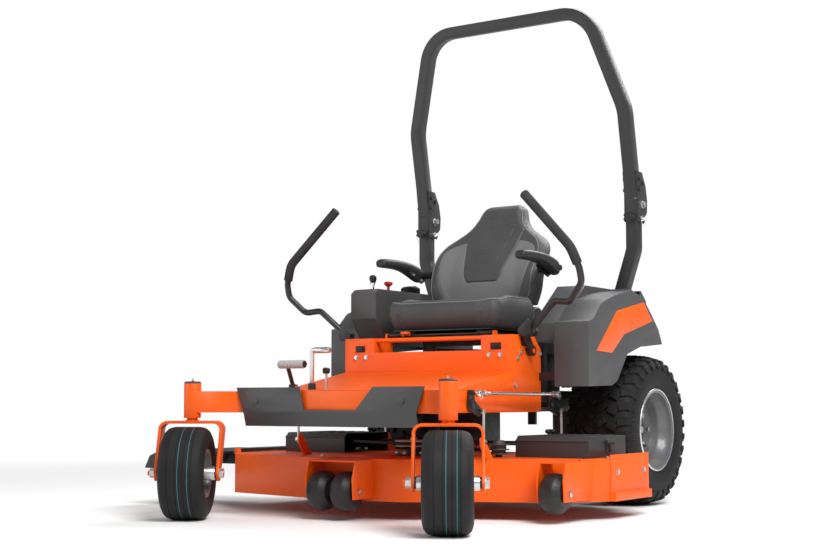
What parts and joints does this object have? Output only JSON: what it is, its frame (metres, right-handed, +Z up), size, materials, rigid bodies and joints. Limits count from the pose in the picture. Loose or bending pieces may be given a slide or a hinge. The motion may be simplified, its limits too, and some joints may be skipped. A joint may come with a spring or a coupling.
{
  "type": "zero turn mower",
  "caption": "Zero turn riding mower with a wide side-discharge deck, folding roll bar, two steering levers, padded seat and front casters.",
  "frame": {"origin": "on the ground under the middle of the machine's overall box", "axes": "+X to the operator's left, +Y to the rear, +Z up; the front faces -Y"},
  "size_m": [1.925, 2.189, 2.08],
  "materials": {
    "body_orange": "gloss",
    "satin_charcoal": "satin",
    "plastic_gray": "matte",
    "plastic_black": "matte",
    "plastic_red": "gloss",
    "vinyl_gray": "satin",
    "tyre_rubber": "matte",
    "rim_gray": "satin",
    "zinc_steel": "satin",
    "cast_housing": "matte",
    "engine_black": "satin",
    "muffler_steel": "satin",
    "belt_rubber": "matte"
  },
  "bodies": {
    "chassis": {"main_frame": "body_orange", "front_bumper": "satin_charcoal", "colour_panels": "body_orange", "footrest": "body_orange", "control_tower": "body_orange", "rear_frame": "body_orange", "engine_guard": "satin_charcoal", "engine": "engine_black", "muffler": "muffler_steel", "hydro_drives": "cast_housing", "fender_left": "plastic_gray", "fender_right": "plastic_gray", "rops_posts": "satin_charcoal", "frame_hardware": "zinc_steel"},
    "rear_wheel_left": {"rear_tyre_left": "tyre_rubber", "rear_rim_left": "rim_gray"},
    "caster_left": {"caster_fork_left": "body_orange"},
    "caster_wheel_left": {"caster_tyre_left": "tyre_rubber", "caster_rim_left": "rim_gray"},
    "lever_base_left": {"lever_bracket_left": "satin_charcoal"},
    "lever_arm_left": {"lever_tube_left": "satin_charcoal", "lever_grip_left": "plastic_black"},
    "rops_lock_left": {"rops_lock_pin_left": "zinc_steel"},
    "arm_left": {"armrest_left": "plastic_black"},
    "rear_wheel_right": {"rear_tyre_right": "tyre_rubber", "rear_rim_right": "rim_gray"},
    "caster_right": {"caster_fork_right": "body_orange"},
    "caster_wheel_right": {"caster_tyre_right": "tyre_rubber", "caster_rim_right": "rim_gray"},
    "lever_base_right": {"lever_bracket_right": "satin_charcoal"},
    "lever_arm_right": {"lever_tube_right": "satin_charcoal", "lever_grip_right": "plastic_black"},
    "rops_lock_right": {"rops_lock_pin_right": "zinc_steel"},
    "arm_right": {"armrest_right": "plastic_black"},
    "fuel_lid": {"fuel_cap": "plastic_black"},
    "roll_bar": {"rops_hoop": "satin_charcoal"},
    "seat_base": {"seat_plate": "satin_charcoal"},
    "seat": {"seat_frame": "satin_charcoal", "seat_cushion": "vinyl_gray", "seat_back": "vinyl_gray"},
    "deck": {"deck_shell": "body_orange", "deck_hardware": "zinc_steel", "belt_covers": "plastic_gray", "spindle_housings": "cast_housing", "deck_belt": "belt_rubber"},
    "spindle_left": {"blade_left": "zinc_steel"},
    "spindle_centre": {"blade_centre": "zinc_steel"},
    "spindle_right": {"blade_right": "zinc_steel"},
    "wheel_left": {"roller_left": "plastic_black"},
    "wheel_centre": {"roller_centre": "plastic_black"},
    "chute": {"discharge_chute": "plastic_black"},
    "front_cranks": {"front_lift_cranks": "satin_charcoal"},
    "rear_cranks": {"rear_lift_cranks": "satin_charcoal"},
    "rods": {"lift_rods": "zinc_steel"},
    "pedal": {"lift_pedal": "satin_charcoal"},
    "height_knob": {"height_crank": "satin_charcoal"},
    "throttle": {"throttle_lever": "plastic_black"},
    "blade_switch": {"pto_knob": "plastic_red"},
    "key": {"ignition_key": "zinc_steel"}
  },
  "joints": [
    {"name": "rear_wheel_spin_left", "type": "hinge", "parent": "chassis", "child": "rear_wheel_left", "pos_m": [0.6625, 0.64854, 0.305], "axis": [1, 0, 0], "continuous": true},
    {"name": "caster_swivel_left", "type": "hinge", "parent": "chassis", "child": "caster_left", "pos_m": [0.7355, -0.86246, 0.425], "axis": [0, 0, 1], "continuous": true},
    {"name": "caster_spin_left", "type": "hinge", "parent": "caster_left", "child": "caster_wheel_left", "pos_m": [0.7731, -0.92504, 0.165], "axis": [0.8572, 0.515, 0], "continuous": true},
    {"name": "lever_drive_left", "type": "hinge", "parent": "chassis", "child": "lever_base_left", "pos_m": [0.5875, -0.03146, 0.61], "axis": [1, 0, 0], "range_deg": [-12, 18]},
    {"name": "lever_swing_left", "type": "hinge", "parent": "lever_base_left", "child": "lever_arm_left", "pos_m": [0.6215, -0.08246, 0.68], "axis": [0, 1, 0], "range_deg": [-20, 0]},
    {"name": "rops_pin_pull_left", "type": "slide", "parent": "chassis", "child": "rops_lock_left", "axis": [1, 0, 0], "range_m": [0, 0.09]},
    {"name": "armrest_fold_left", "type": "hinge", "parent": "seat", "child": "arm_left", "pos_m": [0.5145, 0.30354, 0.955], "axis": [-1, 0, 0], "range_deg": [0, 90]},
    {"name": "rear_wheel_spin_right", "type": "hinge", "parent": "chassis", "child": "rear_wheel_right", "pos_m": [-0.2875, 0.64854, 0.305], "axis": [1, 0, 0], "continuous": true},
    {"name": "caster_swivel_right", "type": "hinge", "parent": "chassis", "child": "caster_right", "pos_m": [-0.3605, -0.86246, 0.425], "axis": [0, 0, 1], "continuous": true},
    {"name": "caster_spin_right", "type": "hinge", "parent": "caster_right", "child": "caster_wheel_right", "pos_m": [-0.3229, -0.92504, 0.165], "axis": [0.8572, 0.515, 0], "continuous": true},
    {"name": "lever_drive_right", "type": "hinge", "parent": "chassis", "child": "lever_base_right", "pos_m": [-0.2125, -0.03146, 0.61], "axis": [1, 0, 0], "range_deg": [-12, 18]},
    {"name": "lever_swing_right", "type": "hinge", "parent": "lever_base_right", "child": "lever_arm_right", "pos_m": [-0.2465, -0.08246, 0.68], "axis": [0, -1, 0], "range_deg": [-20, 0]},
    {"name": "rops_pin_pull_right", "type": "slide", "parent": "chassis", "child": "rops_lock_right", "axis": [-1, 0, 0], "range_m": [0, 0.09]},
    {"name": "armrest_fold_right", "type": "hinge", "parent": "seat", "child": "arm_right", "pos_m": [-0.1395, 0.30354, 0.955], "axis": [-1, 0, 0], "range_deg": [0, 90]},
    {"name": "fuel_cap_turn", "type": "hinge", "parent": "chassis", "child": "fuel_lid", "pos_m": [-0.2245, 0.36854, 0.89], "axis": [0, 0, 1], "range_deg": [0, 90]},
    {"name": "roll_bar_fold", "type": "hinge", "parent": "chassis", "child": "roll_bar", "pos_m": [0.1875, 0.67854, 1.239], "axis": [-1, 0, 0], "range_deg": [0, 120]},
    {"name": "seat_tilt", "type": "hinge", "parent": "chassis", "child": "seat_base", "pos_m": [0.1875, -0.04146, 0.683], "axis": [1, 0, 0], "range_deg": [0, 60]},
    {"name": "seat_slide", "type": "slide", "parent": "seat_base", "child": "seat", "axis": [0, 1, 0], "range_m": [-0.06, 0.04]},
    {"name": "deck_lift", "type": "slide", "parent": "chassis", "child": "deck", "axis": [0, 0, 1], "range_m": [0, 0.0508]},
    {"name": "blade_spin_left", "type": "hinge", "parent": "deck", "child": "spindle_left", "pos_m": [0.6775, 0.03854, 0.15], "axis": [0, 0, 1], "continuous": true},
    {"name": "blade_spin_centre", "type": "hinge", "parent": "deck", "child": "spindle_centre", "pos_m": [0.1875, -0.23146, 0.15], "axis": [0, 0, 1], "continuous": true},
    {"name": "blade_spin_right", "type": "hinge", "parent": "deck", "child": "spindle_right", "pos_m": [-0.3025, 0.03854, 0.15], "axis": [0, 0, 1], "continuous": true},
    {"name": "roller_spin_left", "type": "hinge", "parent": "deck", "child": "wheel_left", "pos_m": [0.8555, -0.35946, 0.103], "axis": [1, 0, 0], "continuous": true},
    {"name": "roller_spin_centre", "type": "hinge", "parent": "deck", "child": "wheel_centre", "pos_m": [0.1235, -0.64346, 0.103], "axis": [1, 0, 0], "continuous": true},
    {"name": "chute_fold", "type": "hinge", "parent": "deck", "child": "chute", "pos_m": [-0.5885, -0.23646, 0.226], "axis": [0, 1, 0], "range_deg": [0, 85]},
    {"name": "front_crank_turn", "type": "hinge", "parent": "chassis", "child": "front_cranks", "pos_m": [0.1875, -0.46446, 0.408], "axis": [1, 0, 0], "range_deg": [0, 51]},
    {"name": "rear_crank_turn", "type": "hinge", "parent": "chassis", "child": "rear_cranks", "pos_m": [0.1875, 0.12854, 0.408], "axis": [1, 0, 0], "range_deg": [0, 51]},
    {"name": "lift_rod_turn", "type": "hinge", "parent": "front_cranks", "child": "rods", "pos_m": [0.6115, -0.46446, 0.448], "axis": [1, 0, 0], "range_deg": [-51, 0]},
    {"name": "pedal_press", "type": "hinge", "parent": "chassis", "child": "pedal", "pos_m": [-0.0625, -0.65146, 0.474], "axis": [1, 0, 0], "range_deg": [0, 41]},
    {"name": "height_turn", "type": "hinge", "parent": "chassis", "child": "height_knob", "pos_m": [0.0615, -0.70146, 0.53], "axis": [0, 0, 1], "continuous": true},
    {"name": "throttle_move", "type": "hinge", "parent": "chassis", "child": "throttle", "pos_m": [-0.2125, 0.06754, 0.84], "axis": [1, 0, 0], "range_deg": [-20, 20]},
    {"name": "blade_switch_pull", "type": "slide", "parent": "chassis", "child": "blade_switch", "axis": [0, 0, 1], "range_m": [0, 0.02]},
    {"name": "key_turn", "type": "hinge", "parent": "chassis", "child": "key", "pos_m": [-0.1905, 0.02854, 0.89], "axis": [0, 0, 1], "range_deg": [0, 60]}
  ],
  "couplings": [
    {"joint": "blade_spin_centre", "follows": "blade_spin_left", "ratio": 1},
    {"joint": "blade_spin_right", "follows": "blade_spin_left", "ratio": 1},
    {"joint": "front_crank_turn", "follows": "deck_lift", "rad_per_m": 17.178},
    {"joint": "rear_crank_turn", "follows": "deck_lift", "rad_per_m": 17.178},
    {"joint": "lift_rod_turn", "follows": "deck_lift", "rad_per_m": -17.178},
    {"joint": "pedal_press", "follows": "deck_lift", "rad_per_m": 13.743}
  ]
}
